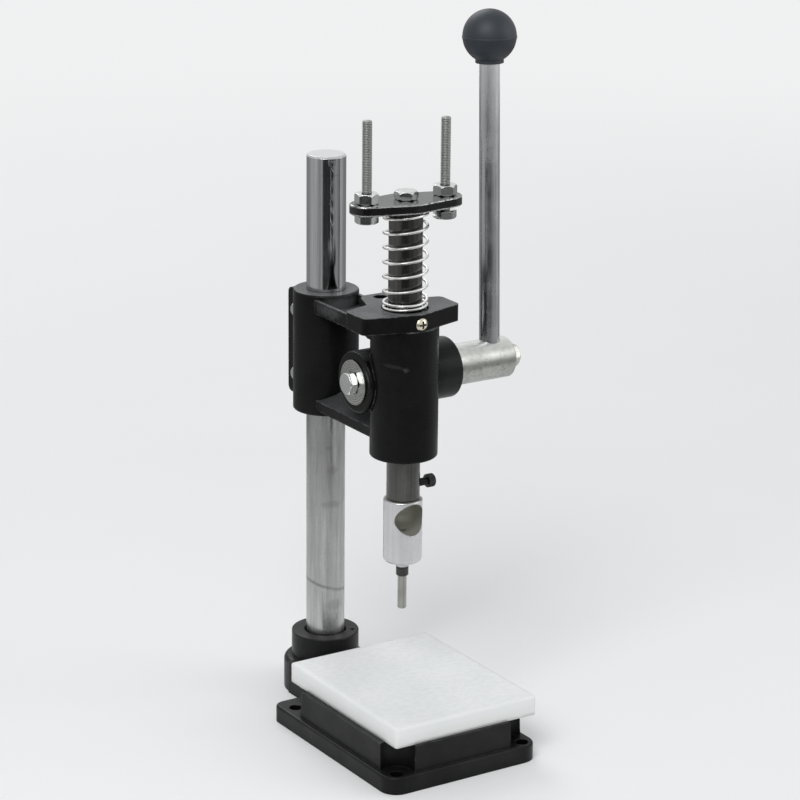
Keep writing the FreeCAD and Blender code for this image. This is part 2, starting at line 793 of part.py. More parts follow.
def ball_knob():
    ball = Part.makeSphere(ball_radius, on_ram(lever_x, pinion_back, ball_z))
    neck_drop = math.sqrt(ball_radius ** 2 - ball_neck_radius ** 2)
    neck_z = ball_z - neck_drop
    x = column_x + lever_x
    below = box(x - ball_radius, x + ball_radius, pinion_y - ball_radius, pinion_y + ball_radius,
                ball_z - ball_radius - cut_over, neck_z)
    bore = cylinder(lever_radius + ball_bore_fit,
                    on_ram(lever_x, pinion_back, neck_z - ball_lip_drop - cut_over),
                    on_ram(lever_x, pinion_back, lever_tip_z + ball_bore_fit))
    lip = cylinder(ball_lip_radius, on_ram(lever_x, pinion_back, neck_z - ball_lip_drop),
                   on_ram(lever_x, pinion_back, neck_z + ball_lip_height))
    return leaned(fuse_all([ball.cut(below), lip]).cut(bore))


def lever_lock_bolt():
    """Bolt in the hub's right end, whose tip presses on the lever."""
    seat = hub_end + lock_bolt_proud
    length = seat - lever_x - lever_radius - lock_bolt_gap
    bolt = hex_bolt(length, lock_bolt_turn)
    return turned_to(bolt, RIGHT.negative(), on_ram(seat, pinion_back, pinion_z))


def rack_gap(z):
    """The space between two teeth of the rack, level with one height."""
    pitch_y = pinion_back - pitch_radius
    tip_y = pitch_y + rack_tip_share * tooth_module
    root_y = pitch_y - rack_root_share * tooth_module
    slope = math.tan(math.radians(pressure_angle))
    half = math.pi * tooth_module / 4 + flank_clearance
    outer = half + (tip_y + cut_over - pitch_y) * slope
    inner = half - (pitch_y - root_y) * slope
    x = -ram_radius - cut_over
    points = [V(x, tip_y + cut_over, z - outer), V(x, root_y, z - inner), V(x, root_y, z + inner),
              V(x, tip_y + cut_over, z + outer)]
    gap = prism(points, V(2 * (ram_radius + cut_over), 0, 0))
    gap.translate(V(column_x, ram_y, 0))
    return gap


def ram():
    """Round ram with a rack in its back and a bore for the tool below."""
    body = rounded_post(ram_radius, V(column_x, ram_y, 0), ram_bottom, ram_top, ram_rounding,
                        ram_rounding)
    circular_pitch = math.pi * tooth_module
    tip_y = pinion_back - pitch_radius + rack_tip_share * tooth_module
    first = pinion_z - 2.5 * circular_pitch
    last = first + (rack_count - 1) * circular_pitch
    flat = box(column_x - ram_radius, column_x + ram_radius, ram_y + tip_y, ram_y + ram_radius + cut_over,
               first - circular_pitch, last + circular_pitch)
    gaps = [rack_gap(first + i * circular_pitch) for i in range(rack_count)]
    tool_bore = cylinder(shank_radius + running_fit, on_ram(0, 0, ram_bottom - cut_over),
                         on_ram(0, 0, ram_bottom + shank_length + shank_bore_spare))
    screw_hole = cylinder(lock_screw_radius + thread_fit, on_ram(0, 0, tool_screw_z),
                          on_ram(ram_radius + cut_over, 0, tool_screw_z))
    top_hole = cylinder(bolt_radius + thread_fit, on_ram(0, 0, ram_top - top_bolt_length),
                        on_ram(0, 0, ram_top + cut_over))
    return body.cut([flat, tool_bore, screw_hole, top_hole] + gaps)


def on_plate(x, z):
    """A place on the stop plate, which sits a few degrees round on the ram."""
    turn = math.radians(plate_turn)
    return on_ram(x * math.cos(turn), x * math.sin(turn), z)


def stop_plate():
    outline = oval_outline(plate_mid_radius, plate_end_radius, stop_spacing, 0)
    plate = Part.Face(outline).extrude(V(0, 0, plate_thickness))
    plate = plate.makeChamfer(plate_chamfer, level_edges(plate, plate_thickness) + level_edges(plate, 0))
    holes = ((-stop_spacing, stop_bolt_radius), (0, bolt_radius), (stop_spacing, stop_bolt_radius))
    for x, radius in holes:
        plate = plate.cut(cylinder(radius + thread_fit, V(x, 0, -cut_over),
                                   V(x, 0, plate_thickness + cut_over)))
    plate.rotate(V(0, 0, 0), UP, plate_turn)
    plate.translate(on_ram(0, 0, ram_top))
    return plate


def ram_top_bolt():
    length = plate_thickness + top_bolt_length - cut_over
    return turned_to(hex_bolt(length, top_bolt_turn), UP.negative(), on_plate(0, plate_top))


def stop_bolt(x, top, turn):
    """Depth stop: its head hangs below the plate and meets the flange at full depth."""
    bolt = hex_bolt(stop_bolt_length, turn, stop_bolt_radius)
    return turned_to(bolt, UP, on_plate(x, top - stop_bolt_length))


def stop_nut(x, turn):
    return turned_to(hex_nut(turn, stop_bolt_radius), UP, on_plate(x, plate_top))


def return_spring():
    """Open coil spring round the ram, between the flange's pocket and the stop plate.

    Its round wire is drawn with eight flats, which keeps the solid light.
    """
    radius = spring_outer_radius - wire_radius
    low = flange_top_z - spring_pocket_depth + wire_radius + spring_end_gap
    high = ram_top - wire_radius - spring_end_gap
    top_pitch = 2 * wire_radius
    closed_start = spring_closed_end_z - spring_closed_turns * spring_closed_pitch
    foot_pitch = (closed_start - low) / spring_foot_turns
    active = (high - spring_top_turns * top_pitch - spring_closed_end_z) / spring_active_turns
    turns = [(spring_foot_turns, foot_pitch), (spring_closed_turns, spring_closed_pitch),
             (spring_active_turns, active), (spring_top_turns, top_pitch)]
    points = []
    height = low
    angle = math.radians(270) - 2 * math.pi * spring_foot_turns
    for count, pitch in turns:
        for step in range(round(count * points_per_turn)):
            points.append(on_ram(radius * math.cos(angle), radius * math.sin(angle), height))
            angle += 2 * math.pi / points_per_turn
            height += pitch / points_per_turn
    points.append(on_ram(radius * math.cos(angle), radius * math.sin(angle), height))
    spline = Part.BSplineCurve()
    spline.interpolate(points)
    path = Part.Wire(spline.toShape())
    along = spline.tangent(spline.FirstParameter)[0]
    across = along.cross(UP).normalize()
    upright = across.cross(along)
    corners = []
    for i in range(wire_sides):
        turn = 2 * math.pi * (i + 0.5) / wire_sides
        reach = across * math.cos(turn) + upright * math.sin(turn)
        corners.append(points[0] + reach * wire_radius)
    section = Part.makePolygon(corners + [corners[0]])
    return path.makePipeShell([section], True, True)


def tool_lock_screw():
    """Socket screw in the ram's right side, which holds the punch holder's shank."""
    head = cylinder(lock_screw_head_radius, V(0, 0, 0), V(0, 0, lock_screw_head_height))
    head = head.makeFillet(lock_screw_head_radius / 10,
                           circle_edges(head, lock_screw_head_radius, lock_screw_head_height))
    tip = shank_radius + lock_screw_tip_gap
    seat = ram_radius + lock_screw_neck
    shank = cylinder(lock_screw_radius, V(0, 0, tip - seat), V(0, 0, 0))
    key = hexagon(lock_screw_socket_flats, lock_screw_head_height - lock_screw_socket_depth,
                  lock_screw_head_height + cut_over)
    screw = head.fuse(shank).removeSplitter().cut(key)
    return turned_to(screw, RIGHT, on_ram(seat, 0, tool_screw_z))


def punch_holder():
    """Round holder with a shank in the ram, a nose and a hollow in front for the chips."""
    body = rounded_post(holder_radius, V(column_x, ram_y, 0), holder_bottom, ram_bottom, 0,
                        holder_rounding)
    body = body.makeFillet(holder_foot_rounding, circle_edges(body, holder_radius, holder_bottom))
    shank = cylinder(shank_radius, on_ram(0, 0, ram_bottom - holder_rounding),
                     on_ram(0, 0, ram_bottom + shank_length))
    nose = cylinder(nose_radius, on_ram(0, 0, nose_bottom),
                    on_ram(0, 0, holder_bottom + holder_foot_rounding))
    pocket_round = on_ram(0, chip_pocket_floor_y - chip_pocket_radius, chip_pocket_z)
    pocket = cylinder(chip_pocket_radius, on_ram(0, -holder_radius - cut_over, chip_pocket_z),
                      pocket_round)
    pocket = pocket.fuse(Part.makeSphere(chip_pocket_radius, pocket_round, FRONT))
    seat = cylinder(tube_radius, on_ram(0, 0, nose_bottom - cut_over),
                    on_ram(0, 0, holder_bottom + tube_seat_length))
    chip_way = cylinder(tube_bore_radius, on_ram(0, 0, holder_bottom), on_ram(0, 0, chip_pocket_z))
    return fuse_all([body, shank, nose]).cut([pocket, seat, chip_way])


def punch_collar():
    low = nose_bottom - collar_length
    ring = cylinder(collar_radius, on_ram(0, 0, low), on_ram(0, 0, nose_bottom))
    ring = ring.makeChamfer(collar_chamfer, circle_edges(ring, collar_radius, low))
    return ring.cut(cylinder(tube_radius, on_ram(0, 0, low - cut_over),
                             on_ram(0, 0, nose_bottom + cut_over)))


def punch_tube():
    """Hollow punch with its outer edge ground to a cutting rim."""
    tube = cylinder(tube_radius, on_ram(0, 0, tube_tip), on_ram(0, 0, holder_bottom + tube_seat_length))
    tube = tube.makeChamfer(tube_edge, circle_edges(tube, tube_radius, tube_tip))
    return tube.cut(cylinder(tube_bore_radius, on_ram(0, 0, tube_tip - cut_over),
                             on_ram(0, 0, holder_bottom + tube_seat_length + cut_over)))


def save(name, shape):
    shape.exportStep("parts/" + name + ".step")


def main():
    os.makedirs("parts", exist_ok=True)
    save("base_casting", base_casting())
    save("cutting_board", cutting_board())
    save("column", column())
    save("head_casting", head_casting())
    save("clamp_bolts", clamp_bolts())
    save("clamp_washers", clamp_washers())
    save("oil_hole_screw", oil_hole_screw())
    save("pinion_shaft", pinion_shaft())
    save("pinion_washer", pinion_washer())
    save("pinion_bolt", pinion_bolt())
    save("lever_rod", lever_rod())
    save("ball_knob", ball_knob())
    save("lever_lock_bolt", lever_lock_bolt())
    save("ram", ram())
    save("stop_plate", stop_plate())
    save("ram_top_bolt", ram_top_bolt())
    save("stop_bolt_left", stop_bolt(-stop_spacing, left_stop_top, left_stop_turn))
    save("stop_bolt_right", stop_bolt(stop_spacing, right_stop_top, right_stop_turn))
    save("stop_nut_left", stop_nut(-stop_spacing, left_stop_turn))
    save("stop_nut_right", stop_nut(stop_spacing, right_stop_turn))
    save("return_spring", return_spring())
    save("tool_lock_screw", tool_lock_screw())
    save("punch_holder", punch_holder())
    save("punch_collar", punch_collar())
    save("punch_tube", punch_tube())


main()
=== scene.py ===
import bpy, math
from mathutils import Matrix, Vector


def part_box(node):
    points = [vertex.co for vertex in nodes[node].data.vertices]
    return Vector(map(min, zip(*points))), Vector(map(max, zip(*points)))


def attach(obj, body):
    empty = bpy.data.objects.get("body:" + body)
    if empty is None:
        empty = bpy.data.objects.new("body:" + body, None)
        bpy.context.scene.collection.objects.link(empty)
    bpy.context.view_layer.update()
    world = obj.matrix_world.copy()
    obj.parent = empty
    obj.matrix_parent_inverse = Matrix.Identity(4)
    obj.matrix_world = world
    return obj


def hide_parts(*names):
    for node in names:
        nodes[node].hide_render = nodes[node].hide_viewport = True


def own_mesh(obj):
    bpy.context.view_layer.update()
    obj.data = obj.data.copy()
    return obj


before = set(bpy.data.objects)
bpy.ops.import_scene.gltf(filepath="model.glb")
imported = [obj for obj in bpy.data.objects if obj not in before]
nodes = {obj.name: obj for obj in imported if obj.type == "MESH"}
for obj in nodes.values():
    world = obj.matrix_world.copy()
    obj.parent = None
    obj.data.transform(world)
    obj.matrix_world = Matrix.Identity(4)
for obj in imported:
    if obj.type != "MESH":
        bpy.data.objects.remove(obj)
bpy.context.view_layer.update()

# All lengths are in metres. Z is up, minus Y is the operator's side.
MM = 0.001
COLUMN_X, COLUMN_Y = 0.0041, 0.1065            # the column's axis
RAM_X, RAM_Y = 0.0041, 0.0142                  # the ram's axis
PINION_Y, PINION_Z = 0.0329, 0.2306            # the lever shaft's axis, which runs along X
ACROSS_FRONT = (0.841, -0.541, 0.0)            # level direction across the column's front left side


# Node helpers

def put(tree, kind, inputs=None, **props):
    """Adds a shader node. Inputs are values or the sockets of other nodes."""
    node = tree.nodes.new(kind)
    for key, value in props.items():
        setattr(node, key, value)
    for key, value in (inputs or {}).items():
        if isinstance(value, bpy.types.NodeSocket):
            tree.links.new(value, node.inputs[key])
        else:
            node.inputs[key].default_value = value
    return node


def maths(tree, operation, a, b=0.5, c=0.5):
    """One sum on values or sockets."""
    return put(tree, "ShaderNodeMath", {0: a, 1: b, 2: c}, operation=operation).outputs[0]


def span(tree, value, start, end, low=0.0, high=1.0, **props):
    """Goes from low where the value is at start to high where it is at end, and no further."""
    return put(tree, "ShaderNodeMapRange", {"Value": value, "From Min": start, "From Max": end,
                                            "To Min": low, "To Max": high}, **props).outputs[0]


def ramp(tree, value, stops):
    """A grey or coloured ramp. Each stop is a place and a brightness or a colour."""
    node = put(tree, "ShaderNodeValToRGB", {"Fac": value})
    elements = node.color_ramp.elements
    while len(elements) < len(stops):
        elements.new(0.5)
    for element, (place, shade) in zip(elements, stops):
        element.position = place
        element.color = shade if isinstance(shade, tuple) else (shade, shade, shade, 1)
    return node.outputs[0]


def blend_colour(tree, factor, a, b, kind="MIX"):
    """Goes from colour a to colour b as the factor rises."""
    node = put(tree, "ShaderNodeMix", data_type="RGBA", blend_type=kind)
    for socket, value in ((node.inputs[0], factor), (node.inputs[6], a), (node.inputs[7], b)):
        if isinstance(value, bpy.types.NodeSocket):
            tree.links.new(value, socket)
        else:
            socket.default_value = value
    return node.outputs[2]


def place_of(tree):
    """The place on the object in metres, which is the same in every pose."""
    return put(tree, "ShaderNodeTexCoord").outputs["Object"]


def stretched(tree, scale):
    """The place on the object, stretched per axis."""
    return put(tree, "ShaderNodeMapping", {"Vector": place_of(tree), "Scale": scale}).outputs[0]


def around(tree, centre, size, turn=(0, 0, 0)):
    """The place as seen from a centre, in shares of a size per axis."""
    return put(tree, "ShaderNodeMapping", {"Vector": place_of(tree), "Location": centre, "Rotation": turn,
                                           "Scale": size}, vector_type="TEXTURE").outputs[0]


def length_of(tree, vector):
    return put(tree, "ShaderNodeVectorMath", {0: vector}, operation="LENGTH").outputs["Value"]


def dot_product(tree, a, b):
    return put(tree, "ShaderNodeVectorMath", {0: a, 1: b}, operation="DOT_PRODUCT").outputs["Value"]


def axis_value(tree, axis):
    """The place along one axis: 0, 1 or 2."""
    return put(tree, "ShaderNodeSeparateXYZ", {0: place_of(tree)}).outputs[axis]


def noise(tree, vector, scale, detail=4.0, rough=0.55, distortion=0.0):
    return put(tree, "ShaderNodeTexNoise", {"Vector": vector, "Scale": scale, "Detail": detail,
                                            "Roughness": rough, "Distortion": distortion}).outputs[0]


def true_normal(tree):
    return put(tree, "ShaderNodeNewGeometry").outputs["Normal"]


def facing_up(tree, low, high):
    """1 on faces that look up and 0 on walls, between two values of the normal's height."""
    rise = put(tree, "ShaderNodeSeparateXYZ", {0: true_normal(tree)}).outputs[2]
    return span(tree, rise, low, high)


def soft_normal(tree, radius):
    """The normal with its edges rounded."""
    return put(tree, "ShaderNodeBevel", {"Radius": radius}, samples=6).outputs[0]


def edge_mask(tree, soft, low, high):
    """White on edges, black on flats, from how far rounding turns the surface."""
    away = maths(tree, "SUBTRACT", 1.0, dot_product(tree, soft, true_normal(tree)))
    return span(tree, away, low, high)


def recess_shade_factor(tree, reach, dark):
    """A factor that is 1 in the open and falls towards dark in recesses: painted shade on colours, and a wear
    mask.
    """
    open_sky = put(tree, "ShaderNodeAmbientOcclusion", {"Distance": reach}, samples=6).outputs["AO"]
    return span(tree, open_sky, 0.25, 0.85, dark, 1.0)


def bump(tree, height, distance, normal=None, strength=1.0):
    """A normal that follows a height, over the surface's own normal or another."""
    inputs = {"Height": height, "Distance": distance, "Strength": strength}
    if normal is not None:
        inputs["Normal"] = normal
    return put(tree, "ShaderNodeBump", inputs).outputs[0]


def material(name):
    """A new material: gives it, its node tree and its principled shader."""
    made = bpy.data.materials.new(name)
    made.use_nodes = True
    return made, made.node_tree, made.node_tree.nodes["Principled BSDF"]


SOCKETS = {"colour": "Base Color", "rough": "Roughness", "metal": "Metallic", "normal": "Normal"}


def link(tree, shader, **sockets):
    """Sets sockets of the shader by short names, to values or to other nodes."""
    for key, value in sockets.items():
        socket = shader.inputs[SOCKETS[key]]
        if isinstance(value, bpy.types.NodeSocket):
            tree.links.new(value, socket)
        else:
            socket.default_value = value


def source_of(shader, key):
    """What is linked to one of the shader's sockets now."""
    return shader.inputs[SOCKETS[key]].links[0].from_socket


def glow_instead(tree, colour):
    return put(tree, "ShaderNodeEmission", {"Color": colour, "Strength": 1.0}).outputs[0]


# Kinds of surface

def paint(name, dark, light, rough, grain, grain_height, wear, dust_and_sheen, wear_high=0.12, gloss=0.10,
          chip_scale=160.0, chip_from=0.46, shade_reach=9 * MM, shade=0.45):
    """Paint on a casting: a grained surface, worn bright edges, an upper side lighter with dust and painted
    sheen, and painted shade in recesses.
    """
    made, tree, shader = material(name)
    at = stretched(tree, (1, 1, 1))
    cloud = noise(tree, at, 35.0, 5.0)
    fine = noise(tree, at, grain, 3.0)
    soft = soft_normal(tree, 0.9 * MM)
    edge = edge_mask(tree, soft, 0.005, wear_high)
    colour = ramp(tree, cloud, [(0.35, dark), (0.65, light)])
    # Dust and painted sheen: upward faces are laid lighter, partly as settled dust and partly for the sky
    # they reflect.
    upper_side_mask = maths(tree, "MULTIPLY", facing_up(tree, 0.8, 1.0), ramp(tree, cloud, [(0.3, 0.45), (0.7, 1.0)]))
    colour = blend_colour(tree, maths(tree, "MULTIPLY", upper_side_mask, dust_and_sheen), colour, (0.125, 0.128, 0.132, 1))
    patch = ramp(tree, noise(tree, at, chip_scale, 6.0, 0.65), [(chip_from, 0.0), (chip_from + 0.14, 1.0)])
    worn = maths(tree, "MULTIPLY", maths(tree, "MULTIPLY", edge, patch), wear)
    worn = maths(tree, "MULTIPLY", worn, recess_shade_factor(tree, 2.5 * MM, 0.0))
    # Painted shade: the colour darkens in recesses.
    colour = blend_colour(tree, 1.0, colour, recess_shade_factor(tree, shade_reach, shade), "MULTIPLY")
    colour = blend_colour(tree, worn, colour, (0.60, 0.60, 0.59, 1))
    shine = ramp(tree, noise(tree, at, 90.0, 4.0), [(0.3, rough - 0.06), (0.7, rough + 0.08)])
    height = maths(tree, "ADD", maths(tree, "MULTIPLY", fine, 0.6), maths(tree, "MULTIPLY", cloud, 1.2))
    link(tree, shader, colour=colour, rough=shine, metal=maths(tree, "MULTIPLY", worn, 0.7),
         normal=bump(tree, height, grain_height, soft))
    shader.inputs["Specular IOR Level"].default_value = gloss
    return made, tree, shader


def turned_metal(name, colour, rough, line_scale, line_height, stretch, streak, stain=0.0, metal=1.0,
                 edge_radius=0.35 * MM):
    """Machined metal with tool marks, which run along the axes where the stretch is small, and painted shade
    in recesses.
    """
    made, tree, shader = material(name)
    lines = noise(tree, stretched(tree, stretch), line_scale, 3.0, 0.7)
    cloud = noise(tree, stretched(tree, (1, 1, 1)), 60.0, 5.0)
    dark = tuple(c * (1 - streak) for c in colour) + (1,)
    light = tuple(min(1, c * (1 + streak)) for c in colour) + (1,)
    shade = ramp(tree, lines, [(0.3, dark), (0.7, light)])
    if stain:
        spots = ramp(tree, cloud, [(0.45, 0.0), (0.72, stain)])
        shade = blend_colour(tree, spots, shade, tuple(c * 0.45 for c in colour) + (1,))
    # Painted shade: the colour darkens in recesses.
    shade = blend_colour(tree, 1.0, shade, recess_shade_factor(tree, 1.6 * MM, 0.25), "MULTIPLY")
    uneven = 0.12
    shine = maths(tree, "ADD", maths(tree, "MULTIPLY", ramp(tree, cloud, [(0.3, 0.0), (0.7, 1.0)]), uneven),
                  maths(tree, "MULTIPLY", lines, uneven))
    link(tree, shader, colour=shade, metal=metal, rough=maths(tree, "ADD", shine, rough - uneven),
         normal=bump(tree, lines, line_height, soft_normal(tree, edge_radius)))
    return made, tree, shader


def blotch(tree, centre, size, turn=(0, 0, 0), rag_scale=500.0, rag=0.9):
    """A ragged mask round one place: 1 in its middle, 0 outside."""
    reach = length_of(tree, around(tree, centre, size, turn))
    ragged = maths(tree, "SUBTRACT", noise(tree, place_of(tree), rag_scale, 5.0, 0.65), 0.5)
    reach = maths(tree, "ADD", reach, maths(tree, "MULTIPLY", ragged, rag * 2))
    return ramp(tree, reach, [(0.45, 1.0), (0.95, 0.0)])


def lay_colour(tree, shader, mask, strength, colour):
    """Lays one more colour over a material through a mask."""
    factor = maths(tree, "MULTIPLY", mask, strength)
    link(tree, shader, colour=blend_colour(tree, factor, source_of(shader, "colour"), (*colour, 1)))


# Paints

head_paint, head_tree, head_shader = paint(
    "head_paint", 0.0045, 0.0080, rough=0.27, grain=700.0, grain_height=0.035 * MM, wear=0.30, dust_and_sheen=0.9)
base_paint, base_tree, base_shader = paint(
    "base_paint", 0.009, 0.017, rough=0.36, grain=430.0, grain_height=0.12 * MM, wear=0.10, dust_and_sheen=0.16,
    gloss=0.15, shade_reach=15 * MM, shade=0.20)
plate_paint, _, _ = paint(
    "plate_paint", 0.004, 0.008, rough=0.12, grain=700.0, grain_height=0.04 * MM, wear=1.0, dust_and_sheen=0.12,
    wear_high=0.03, gloss=0.44, chip_scale=420.0, chip_from=0.38)


def scar_head():
    """A light scar on the barrel's front, a lighter patch in the arm's hollow, and a painted sheen on the
    pinion's boss.
    """
    for place, size, strength in (((-0.0117, 0.0012, 0.2472), (0.0066, 0.009, 0.0015), 0.13),
                                  ((-0.0062, -0.0010, 0.2452), (0.0021, 0.009, 0.0021), 0.30)):
        scar = blotch(head_tree, place, size, (0, 0.16, 0), 600.0, 0.9)
        lay_colour(head_tree, head_shader, scar, strength, (0.10, 0.10, 0.10))
    # The arm's hollow is laid lighter, and the pinion's boss gets a painted sheen of the floor it faces.
    for place, size, strength, shade in (((0.0041, 0.0765, 0.2640), (0.024, 0.026, 0.0075), 0.85, 0.095),
                                         ((0.0440, 0.0200, 0.2290), (0.024, 0.024, 0.030), 0.8, 0.020)):
        lightened_patch = blotch(head_tree, place, size, rag_scale=300.0, rag=0.3)
        lay_colour(head_tree, head_shader, lightened_patch, strength, (shade, shade * 1.02, shade * 1.04))


def paint_notch_shadows():
    """Painted shadow: the base is laid dark in the notches at its two front corners, under the board."""
    for x in (-0.0445, 0.0445):
        mask = blotch(base_tree, (x, -0.0563, 0.011), (0.017, 0.017, 0.012), rag_scale=300.0, rag=0.3)
        lay_colour(base_tree, base_shader, mask, 0.8, (0.003, 0.003, 0.003))


scar_head()
paint_notch_shadows()


# Metals. Columns: colour, roughness, scale and height of the tool marks, their stretch, how much they
# streak the colour, stain, metallic share, and the radius of the softened edges.

LINES_ALONG_Z = (1.0, 1.0, 0.02)
RINGS_ROUND_Z = (0.02, 0.02, 1.0)
RINGS_ROUND_X = (1.0, 0.02, 0.02)
EVEN = (1.0, 1.0, 1.0)

METALS = {
    "column_steel": ((0.53, 0.54, 0.55), 0.11, 900.0, 0.004 * MM, LINES_ALONG_Z, 0.12),
    "lever_steel": ((0.50, 0.515, 0.52), 0.25, 500.0, 0.005 * MM, LINES_ALONG_Z, 0.10),
    "ram_steel": ((0.112, 0.111, 0.104), 0.24, 420.0, 0.006 * MM, LINES_ALONG_Z, 0.30, 0.4),
    "holder_aluminium": ((0.62, 0.62, 0.63), 0.30, 420.0, 0.002 * MM, LINES_ALONG_Z, 0.07, 0.0, 1.0,
                         0.6 * MM),
    "punch_steel": ((0.37, 0.37, 0.345), 0.34, 500.0, 0.006 * MM, LINES_ALONG_Z, 0.20, 0.3),
    "shaft_steel": ((0.70, 0.71, 0.685), 0.34, 900.0, 0.006 * MM, RINGS_ROUND_X, 0.06, 0.35),
    "zinc_steel": ((0.70, 0.715, 0.70), 0.14, 700.0, 0.008 * MM, EVEN, 0.10, 0.30),
    "tarnished_zinc": ((0.50, 0.50, 0.465), 0.30, 700.0, 0.008 * MM, EVEN, 0.14, 0.35),
    "washer_zinc": ((0.335, 0.34, 0.325), 0.28, 700.0, 0.010 * MM, EVEN, 0.12, 0.25),
    "yellow_zinc": ((0.78, 0.73, 0.58), 0.28, 700.0, 0.012 * MM, EVEN, 0.12, 0.3),
    "spring_steel": ((0.82, 0.82, 0.81), 0.24, 600.0, 0.004 * MM, EVEN, 0.10),
    "black_steel": ((0.030, 0.030, 0.032), 0.36, 700.0, 0.02 * MM, EVEN, 0.3, 0.2, 0.6),
    "collar_black": ((0.040, 0.038, 0.036), 0.42, 900.0, 0.01 * MM, RINGS_ROUND_Z, 0.3, 0.2, 0.3),
    "thread_zinc": ((0.30, 0.31, 0.295), 0.48, 700.0, 0.006 * MM, EVEN, 0.10),
}
metals = {name: turned_metal(name, *values) for name, values in METALS.items()}


def turn_washer():
    """Fine rings on the pinion's washer, as a lathe leaves them."""
    _, tree, shader = metals["washer_zinc"]
    flat = around(tree, (0, PINION_Y, PINION_Z), (1e6, 1, 1))
    spacing = 1.5 * MM
    wave = maths(tree, "SINE", maths(tree, "MULTIPLY", length_of(tree, flat), 2 * math.pi / spacing))
    link(tree, shader, normal=bump(tree, wave, 0.030 * MM, source_of(shader, "normal")))


def paint_cross_shade():
    """Painted shade: the cross in the oil hole screw is laid dark deep in its recess."""
    _, tree, shader = metals["yellow_zinc"]
    low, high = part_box("oil_hole_screw")
    deep = span(tree, axis_value(tree, 1), low[1] + 0.7 * MM, low[1] + 1.0 * MM)
    middle = ((low[0] + high[0]) / 2, low[1], (low[2] + high[2]) / 2)
    near = blotch(tree, middle, (4.2 * MM, 20 * MM, 4.2 * MM), rag_scale=500.0, rag=0.05)
    lay_colour(tree, shader, maths(tree, "MULTIPLY", deep, near), 0.92, (0.05, 0.048, 0.04))


def shade_and_wear_hub():
    """The lever's hub has painted shade below its upper side, pits there, and scratches along it."""
    _, tree, shader = metals["shaft_steel"]
    pits = ramp(tree, noise(tree, place_of(tree), 420.0, 5.0, 0.7), [(0.5, 0.0), (0.66, 1.0)])
    low = span(tree, axis_value(tree, 2), PINION_Z + 12.5 * MM, PINION_Z + 4 * MM)
    # Painted shade: the hub's lower side is laid darker, for the dark band it reflects.
    lay_colour(tree, shader, low, 0.62, (0.27, 0.275, 0.25))
    lay_colour(tree, shader, maths(tree, "MULTIPLY", pits, low), 0.5, (0.14, 0.145, 0.12))
    lengthwise = stretched(tree, (0.12, 1, 1))
    nicks = ramp(tree, noise(tree, lengthwise, 900.0, 4.0, 0.6, 0.4), [(0.66, 0.0), (0.70, 1.0)])
    lay_colour(tree, shader, nicks, 0.5, (0.25, 0.25, 0.24))
    link(tree, shader, normal=bump(tree, pits, -0.02 * MM, source_of(shader, "normal"), 0.6))


def oily_shaded_pocket():
    """The chip pocket in the holder is dull and oily inside, and laid dark there as painted shade."""
    _, tree, shader = metals["holder_aluminium"]
    low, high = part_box("punch_holder")
    radius = (high[0] - low[0]) / 2
    from_axis = length_of(tree, around(tree, (RAM_X, RAM_Y, 0), (1, 1, 1e6)))
    inside = span(tree, from_axis, radius - 0.5 * MM, radius - 1.0 * MM)
    z = axis_value(tree, 2)
    below_top = span(tree, z, high[2] - 0.5 * MM, high[2] - 1.5 * MM)
    above_end = span(tree, z, low[2] + 6 * MM, low[2] + 8 * MM)
    mask = maths(tree, "MULTIPLY", inside, maths(tree, "MULTIPLY", below_top, above_end))
    # An oily tint that also darkens the pocket as painted shade.
    lay_colour(tree, shader, mask, 0.95, (0.37, 0.365, 0.32))
    link(tree, shader,
         rough=maths(tree, "ADD", source_of(shader, "rough"), maths(tree, "MULTIPLY", mask, 0.15)),
         metal=maths(tree, "SUBTRACT", 1.0, maths(tree, "MULTIPLY", mask, 0.45)))


# Dark marks on the column's front: middle, size and strength
COLUMN_MARKS = (((-0.0008, 0.0943, 0.167), (0.003, 0.004, 0.002), 0.26),
                ((0.0020, 0.0940, 0.152), (0.005, 0.004, 0.004), 0.22),
                ((0.0008, 0.0940, 0.129), (0.011, 0.006, 0.003), 0.24),
                ((0.0040, 0.0940, 0.060), (0.009, 0.006, 0.005), 0.22))


def column_smudges_and_top_highlight():
    """The column is duller and smudged below the head, with a few marks of use and a painted highlight on its
    top.
    """
    _, tree, shader = metals["column_steel"]
    z = axis_value(tree, 2)
    low = span(tree, z, 0.262, 0.19)
    smear = ramp(tree, noise(tree, stretched(tree, (1, 1, 0.12)), 150.0, 6.0, 0.6, 0.8),
                 [(0.35, 0.0), (0.65, 1.0)])
    mask = maths(tree, "MULTIPLY", low, maths(tree, "ADD", maths(tree, "MULTIPLY", smear, 0.35), 0.65))
    # The colour darkens with height below the head.
    tone_by_height = ramp(tree, maths(tree, "MULTIPLY", z, 4.0), [(0.20, (0.53, 0.525, 0.52, 1)),
                                                        (0.40, (0.39, 0.388, 0.38, 1)),
                                                        (0.66, (0.27, 0.268, 0.263, 1))])
    link(tree, shader, colour=blend_colour(tree, mask, source_of(shader, "colour"), tone_by_height),
         rough=maths(tree, "ADD", source_of(shader, "rough"), maths(tree, "MULTIPLY", mask, 0.22)))
    streaks = ramp(tree, noise(tree, stretched(tree, (1, 1, 0.05)), 380.0, 4.0, 0.65),
                   [(0.44, 0.0), (0.64, 1.0)])
    lay_colour(tree, shader, maths(tree, "MULTIPLY", streaks, low), 0.32, (0.20, 0.205, 0.20))
    for centre, size, strength in COLUMN_MARKS:
        mark = blotch(tree, centre, size, rag_scale=350.0, rag=0.6)
        lay_colour(tree, shader, mark, strength, (0.10, 0.10, 0.10))
    # Painted highlight: the column's top face is laid bright.
    lay_colour(tree, shader, facing_up(tree, 0.8, 0.95), 1.0, (0.72, 0.73, 0.735))


